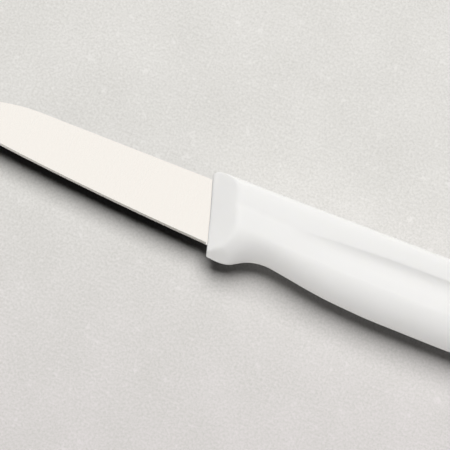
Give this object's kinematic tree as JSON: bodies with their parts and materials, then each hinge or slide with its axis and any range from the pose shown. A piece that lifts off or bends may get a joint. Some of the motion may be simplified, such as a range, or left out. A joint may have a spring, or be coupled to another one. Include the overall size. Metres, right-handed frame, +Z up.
{
  "type": "paring knife",
  "caption": "Fixed-blade paring knife lying on its side: straight-backed, taper-ground steel blade and a white moulded handle with a bevelled collar, finger neck and scooped flanks.",
  "frame": {"origin": "centre of the knife's box, on the surface that the knife lies on", "axes": "+X from the point of the blade to the butt of the handle, +Y from the cutting edge to the spine, +Z up through the knife's thickness, from one flank to the other"},
  "size_m": [0.192, 0.024, 0.014],
  "materials": {
    "blade_steel": "fine satin, ground and polished stainless steel",
    "handle_plastic": "satin moulded white polypropylene"
  },
  "bodies": {
    "root": {"blade": "blade_steel", "handle": "handle_plastic"}
  },
  "joints": []
}
